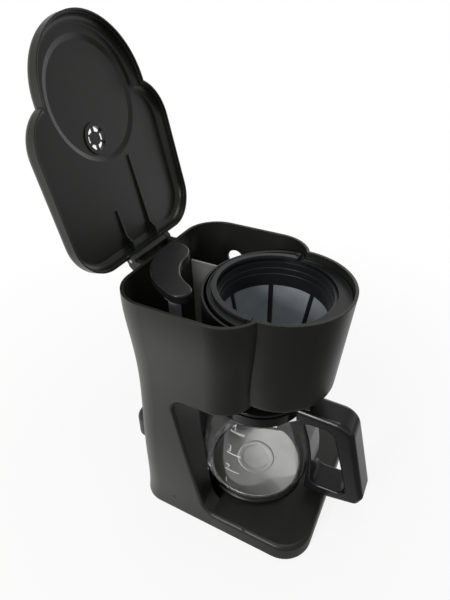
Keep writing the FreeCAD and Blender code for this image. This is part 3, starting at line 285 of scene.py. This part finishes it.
def printedInk(name, colour, rough):
    # screen-printed ink or enamel: an even matt film with a slight grain at its surface
    material, tree, shader, place = newMaterial(name, film["ior"])
    grain = addNode(tree, "ShaderNodeTexNoise",
                    {"Scale": 1 / (film["grainMm"] * mm), "Detail": film["grainDetail"]}, {"Vector": place})
    bump = addNode(tree, "ShaderNodeBump", {"Strength": film["bump"], "Distance": film["deepMm"] * mm},
                   {"Height": grain.outputs["Fac"]})
    shader.inputs["Base Color"].default_value = toLinear(colour)
    shader.inputs["Roughness"].default_value = rough
    tree.links.new(bump.outputs["Normal"], shader.inputs["Normal"])
    return material


finishes = {slot: mouldedPlastic(look) for slot, look in plasticLooks.items()}
finishes.update({slot: metalFinish(look) for slot, look in metalLooks.items()})
finishes["carafe_glass"] = blownGlass()
finishes["filter_mesh"] = wovenNylon()
finishes["lamp_lens"] = redLens()
whiteEnamel = printedInk("firedWhiteEnamel", "#e9eae6", 0.35)
whiteInk = printedInk("printedWhiteInk", "#d8d8d4", 0.5)
labelFoil = printedInk("printedSilverFoil", "#a9aaa8", 0.4)

for part in frame["record"]["subparts"]:
    shown = nodes[part["node"]]
    shown.data.materials.clear()
    shown.data.materials.append(finishes[part["material_slot"]])
print("finishes:", len(finishes))


def finishPiece(name, mesh, material, thickMm):
    # an object round the mesh, with its finish and a wall that grows outwards
    mesh.materials.clear()
    mesh.materials.append(material)
    piece = bpy.data.objects.new(name, mesh)
    scene.collection.objects.link(piece)
    wall = piece.modifiers.new("wall", "SOLIDIFY")
    wall.thickness = thickMm * mm
    wall.offset = 1.0
    return piece


def gridObject(name, points, material, thickMm):
    # a surface from an array of rows and columns of points, given a wall by Solidify
    rows, columns = points.shape[:2]
    index = np.arange(rows * columns).reshape(rows, columns)
    quads = np.stack([index[:-1, :-1], index[:-1, 1:], index[1:, 1:], index[1:, :-1]], -1).reshape(-1, 4)
    mesh = bpy.data.meshes.new(name)
    mesh.from_pydata(points.reshape(-1, 3).tolist(), [], quads.tolist())
    return finishPiece(name, mesh, material, thickMm)


def joinMeshes(name, parts):
    # one mesh from (points, faces) pairs, with the faces' indices moved along
    starts = np.cumsum([0] + [len(points) for points, faces in parts])
    allFaces = []
    for start, (points, faces) in zip(starts, parts):
        allFaces += [[int(corner + start) for corner in face] for face in faces]
    mesh = bpy.data.meshes.new(name)
    mesh.from_pydata(np.concatenate([points for points, faces in parts]).tolist(), [], allFaces)
    return mesh


def flatText(words, height):
    # the words as flat (points, faces), height tall, from the left end of the baseline
    curve = bpy.data.curves.new("words", "FONT")
    curve.body = words
    curve.size = 1.0
    curve.resolution_u = 4
    holder = bpy.data.objects.new("words", curve)
    scene.collection.objects.link(holder)
    mesh = bpy.data.meshes.new_from_object(holder.evaluated_get(bpy.context.evaluated_depsgraph_get()))
    points = np.empty(len(mesh.vertices) * 3)
    mesh.vertices.foreach_get("co", points)
    points = points.reshape(-1, 3)[:, :2]
    faces = [list(face.vertices) for face in mesh.polygons]
    points = (points - [points[:, 0].min(), 0.0]) * height / points[:, 1].max()
    bpy.data.objects.remove(holder)
    bpy.data.curves.remove(curve)
    bpy.data.meshes.remove(mesh)
    return points, faces


def flatBar(x0, x1, y0, y1, steps):
    # a flat strip as (points, faces), cut across so that it can follow a curve
    x = np.linspace(x0, x1, steps)
    points = np.concatenate([np.stack([x, np.full(steps, y)], -1) for y in (y0, y1)])
    low = np.arange(steps - 1)
    faces = np.stack([low, low + 1, low + 1 + steps, low + steps], -1).tolist()
    return points, faces


# cup marks fired on the side of the glass, which faces the handle's left
cupMarks = dict(levels={"1": 46.0, "2": 67.0, "3": 88.0, "4": 109.0}, middleDeg=178.0, lineLong=14.0,
                lineHigh=0.9, lineSteps=24, figureHigh=6.4, figureLift=1.5, figureIn=1.0, lift=0.06,
                thick=0.12, leastRadius=(30.0, 38.0))


def buildCupMarks():
    # flat print wrapped round the glass: angle = middle + x / radius, radius read from the glass at z
    low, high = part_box("carafe_glass")
    middle = np.array([(low.x + high.x) / 2, (low.y + high.y) / 2])
    points = np.empty(len(nodes["carafe_glass"].data.vertices) * 3)
    nodes["carafe_glass"].data.vertices.foreach_get("co", points)
    points = points.reshape(-1, 3)
    radius = np.hypot(*(points[:, :2] - middle).T)
    level, group = np.unique(np.round(points[:, 2], 4), return_inverse=True)
    widest = np.zeros(len(level))
    np.maximum.at(widest, group, radius)
    outside = widest > np.interp(level, [low.z, high.z], np.array(cupMarks["leastRadius"]) * mm)
    half = cupMarks["lineLong"] / 2
    parts = []
    for figure, height in cupMarks["levels"].items():
        flats = [flatBar(-half, half, 0.0, cupMarks["lineHigh"], cupMarks["lineSteps"])]
        flats.append(flatText(figure, cupMarks["figureHigh"]))
        flats[1][0][:] += [-half + cupMarks["figureIn"], cupMarks["figureLift"]]
        for flat, faces in flats:
            z = (height + flat[:, 1]) * mm
            r = np.interp(z, level[outside], widest[outside]) + cupMarks["lift"] * mm
            angle = math.radians(cupMarks["middleDeg"]) + flat[:, 0] * mm / r
            wrapped = np.stack([middle[0] + r * np.cos(angle), middle[1] + r * np.sin(angle), z], -1)
            parts.append((wrapped, faces))
    piece = finishPiece("cup_marks", joinMeshes("cup_marks", parts), whiteEnamel, cupMarks["thick"])
    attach(piece, "carafe")


# I and O on the two halves of the rocker; the face stands at a slope to the machine's side
rockerMarks = dict(barWide=0.8, barLong=4.0, ringIn=1.3, ringOut=2.0, away=5.0, pivotX=71.8, faceOut=4.53,
                   slopeDeg=6.0, turnDeg=8.0, lift=0.05, thick=0.1, ringSteps=33)


def buildRockerMarks():
    # flat marks in the face's own plane, set out from the pivot, sloped and turned about the rocker's pin
    low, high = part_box("switch_case")
    centre = np.array([rockerMarks["pivotX"] * mm, (low.y + high.y) / 2, (low.z + high.z) / 2])
    turn = np.linspace(0, 2 * math.pi, rockerMarks["ringSteps"])
    spread = np.linspace(rockerMarks["ringIn"], rockerMarks["ringOut"], 2)[:, None]
    ringMark = np.stack([spread * np.cos(turn), spread * np.sin(turn)], -1)
    wide, tall = rockerMarks["barWide"] / 2, rockerMarks["barLong"] / 2
    barMark = np.array([[[-wide, -tall], [wide, -tall]], [[-wide, tall], [wide, tall]]])
    for name, flat, side in (("rocker_mark_on", barMark, 1), ("rocker_mark_off", ringMark, -1)):
        slope = math.radians(rockerMarks["slopeDeg"]) * side
        across, along = flat[..., 0], flat[..., 1]
        out = rockerMarks["faceOut"] + rockerMarks["lift"] + along * math.sin(slope)
        up = side * rockerMarks["away"] + along * math.cos(slope)
        angle = math.radians(rockerMarks["turnDeg"])
        x = out * math.cos(angle) + up * math.sin(angle)
        z = up * math.cos(angle) - out * math.sin(angle)
        piece = gridObject(name, centre + np.stack([x, across, z], -1) * mm, whiteInk, rockerMarks["thick"])
        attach(piece, "rocker")


# plain rating plate stuck under the base, left bare
ratingPlate = dict(wide=46.0, long=26.0, corner=2.5, cornerSteps=9, y=-45.0, thick=0.15, gap=0.02, rings=4,
                   middleShare=0.02)


def buildRatingPlate():
    # rounded rectangle: four quarter turns of the corner radius set out from the corners of a smaller
    # rectangle, repeated in rings that shrink to the middle
    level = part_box("base_cover")[0].z - ratingPlate["gap"] * mm
    steps, rings = ratingPlate["cornerSteps"], ratingPlate["rings"]
    quarter = np.linspace(0, math.pi / 2, steps)
    turn = (quarter + np.arange(4)[:, None] * math.pi / 2).ravel()
    reach = np.array([ratingPlate["wide"], ratingPlate["long"]]) / 2 - ratingPlate["corner"]
    signs = np.repeat([[1, 1], [-1, 1], [-1, -1], [1, -1]], steps, axis=0)
    outline = signs * reach + ratingPlate["corner"] * np.stack([np.cos(turn), np.sin(turn)], -1)
    outline = np.concatenate([outline, outline[:1]])
    share = np.linspace(1.0, ratingPlate["middleShare"], rings)[:, None, None]
    flat = np.concatenate([outline * share, np.zeros((rings, len(outline), 1))], -1) * mm
    flat += [0.0, ratingPlate["y"] * mm, level]
    piece = gridObject("rating_plate", flat, labelFoil, ratingPlate["thick"])
    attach(piece, "housing")


buildCupMarks()
buildRockerMarks()
buildRatingPlate()
print("marks and plate ready")

# fill is what lights matt surfaces, room is what gloss mirrors; Front and Side pair a place with a level
# paperWay, paperFront and paperSide set the paper's glow that gloss sees: painted shade in front, painted
# light at the back and sides
studio = dict(floorHalf=4.0, floorLevel=-0.0002, paper="#f2f2f0", nearFloor=0.2, farFloor=0.6, nearGlow=0.86,
              fillLow=0.42, fillHigh=0.34, roomLow=0.86, roomHigh=0.38, highSin=0.6, roomFront=(-0.9, 0.68),
              roomSide=(0.0, 1.0), paperWay=(0.8, 1.0, 0.0), paperFront=(-0.22, 0.1), paperSide=(0.0, 1.0))


def buildWorld():
    # what looks through or past the object sees white; light and gloss see a room that is
    # bright round its walls, dim overhead by the sine of the elevation, and dim in front
    world = bpy.data.worlds.new("studioWorld")
    scene.world = world
    world.use_nodes = True
    tree = world.node_tree
    tree.nodes.clear()
    way = addNode(tree, "ShaderNodeTexCoord").outputs["Generated"]
    axes = addNode(tree, "ShaderNodeSeparateXYZ", links={0: way})
    front, side = studio["roomFront"], studio["roomSide"]
    shaded = addNode(tree, "ShaderNodeMapRange", {1: front[0], 2: side[0], 3: front[1], 4: side[1]},
                     {0: axes.outputs["Y"]})
    shades = []
    for low, high in (("fillLow", "fillHigh"), ("roomLow", "roomHigh")):
        grade = addNode(tree, "ShaderNodeMapRange",
                        {1: 0.0, 2: studio["highSin"], 3: studio[low], 4: studio[high]},
                        {0: axes.outputs["Z"]})
        level = addNode(tree, "ShaderNodeMath", {"operation": "MULTIPLY"},
                        {0: grade.outputs[0], 1: shaded.outputs[0]})
        shades.append(addNode(tree, "ShaderNodeBackground", {"Color": (1, 1, 1, 1)},
                              {"Strength": level.outputs[0]}).outputs[0])
    white = addNode(tree, "ShaderNodeBackground", {"Color": (1, 1, 1, 1), "Strength": 1.0})
    path = addNode(tree, "ShaderNodeLightPath")
    gloss = addNode(tree, "ShaderNodeMixShader",
                    links={0: path.outputs["Is Glossy Ray"], 1: shades[0], 2: shades[1]})
    through = addNode(tree, "ShaderNodeMath", {"operation": "MAXIMUM"},
                      {0: path.outputs["Is Camera Ray"], 1: path.outputs["Is Transmission Ray"]})
    seen = addNode(tree, "ShaderNodeMixShader",
                   links={0: through.outputs[0], 1: gloss.outputs[0], 2: white.outputs[0]})
    addNode(tree, "ShaderNodeOutputWorld", links={0: seen.outputs[0]})


def buildFloor():
    # a flat sheet of paper with four corners
    half, level = studio["floorHalf"], studio["floorLevel"]
    sheet = bpy.data.meshes.new("floor")
    corners = [(-half, -half, level), (half, -half, level), (half, half, level), (-half, half, level)]
    sheet.from_pydata(corners, [], [(0, 1, 2, 3)])
    floor = bpy.data.objects.new("floor", sheet)
    scene.collection.objects.link(floor)
    paper = bpy.data.materials.new("mattWhitePaper")   # takes the shadow near the object, white further out
    paper.use_nodes = True
    tree = paper.node_tree
    tree.nodes.clear()
    matt = addNode(tree, "ShaderNodeBsdfDiffuse", {"Color": toLinear(studio["paper"])})
    glow = addNode(tree, "ShaderNodeEmission", {"Color": (1, 1, 1, 1), "Strength": 1.0})
    place = addNode(tree, "ShaderNodeTexCoord").outputs["Object"]
    away = addNode(tree, "ShaderNodeVectorMath", {"operation": "LENGTH"}, {0: place})
    far = addNode(tree, "ShaderNodeMapRange",
                  {1: studio["nearFloor"], 2: studio["farFloor"], 3: studio["nearGlow"], 4: 1.0},
                  {0: away.outputs["Value"]})
    paperSeen = addNode(tree, "ShaderNodeMixShader",
                        links={0: far.outputs[0], 1: matt.outputs[0], 2: glow.outputs[0]})
    # gloss sees the paper as a glow with painted light at the back and sides and painted shade in front
    front, side = studio["paperFront"], studio["paperSide"]
    along = addNode(tree, "ShaderNodeVectorMath", {"operation": "DOT_PRODUCT", 1: studio["paperWay"]},
                    {0: place})
    paintedShadeLevel = addNode(tree, "ShaderNodeMapRange", {1: front[0], 2: side[0], 3: front[1], 4: side[1]},
                    {0: along.outputs["Value"]})
    # the paper glows for glossy rays, with painted light and painted shade, not with light from the lamps
    paintedShadeGlow = addNode(tree, "ShaderNodeEmission", {"Color": (1, 1, 1, 1)}, {"Strength": paintedShadeLevel.outputs[0]})
    path = addNode(tree, "ShaderNodeLightPath")
    through = addNode(tree, "ShaderNodeMath", {"operation": "MAXIMUM"},
                      {0: path.outputs["Is Camera Ray"], 1: path.outputs["Is Transmission Ray"]})
    gloss = addNode(tree, "ShaderNodeMixShader",
                    links={0: path.outputs["Is Glossy Ray"], 1: matt.outputs[0], 2: paintedShadeGlow.outputs[0]})
    seen = addNode(tree, "ShaderNodeMixShader",
                   links={0: through.outputs[0], 1: gloss.outputs[0], 2: paperSeen.outputs[0]})
    addNode(tree, "ShaderNodeOutputMaterial", links={0: seen.outputs[0]})
    sheet.materials.append(paper)


# soft boxes aimed at the middle of the object: place and size in metres, power in watts
lamps = {
    "left": dict(at=(-1.4, 0.25, 0.85), size=0.4, power=11),
    "right": dict(at=(1.5, -0.05, 0.58), size=0.9, power=3),
    "top": dict(at=(0.0, 0.1, 1.6), size=0.9, power=6),
}


def buildLamps():
    middle = (cadBox[0] + cadBox[1]) / 2
    for name, lamp in lamps.items():
        light = bpy.data.lights.new(name, "AREA")
        light.size = lamp["size"]
        light.energy = lamp["power"]
        holder = bpy.data.objects.new(name, light)
        holder.location = lamp["at"]
        aim = middle - Vector(lamp["at"])
        holder.rotation_euler = aim.to_track_quat("-Z", "Y").to_euler()
        scene.collection.objects.link(holder)


shot = dict(place=(-285.9, -136.63, 438.4), target=(41.98, 31.57, 182.61), rollDeg=-0.1, focalPx=455,
            heightPx=600, sensorMm=36.0, nearMm=10.0)


def buildCamera():
    # a pinhole whose focal length in pixels fits a frame 600 pixels high
    lens = bpy.data.cameras.new("shot")
    lens.sensor_fit = "VERTICAL"
    lens.sensor_height = shot["sensorMm"]
    lens.sensor_width = shot["sensorMm"]
    lens.lens = shot["sensorMm"] * shot["focalPx"] / shot["heightPx"]
    lens.clip_start = shot["nearMm"] * mm
    camera = bpy.data.objects.new("shot", lens)
    place = Vector(shot["place"]) * mm
    aim = (Vector(shot["target"]) * mm - place).to_track_quat("-Z", "Y").to_matrix()
    roll = Matrix.Rotation(math.radians(shot["rollDeg"]), 3, "Z")
    camera.matrix_world = Matrix.Translation(place) @ (aim @ roll).to_4x4()
    scene.collection.objects.link(camera)
    scene.camera = camera


buildWorld()
buildFloor()
buildLamps()
buildCamera()
scene.view_settings.view_transform = "Standard"
print("studio and camera ready")
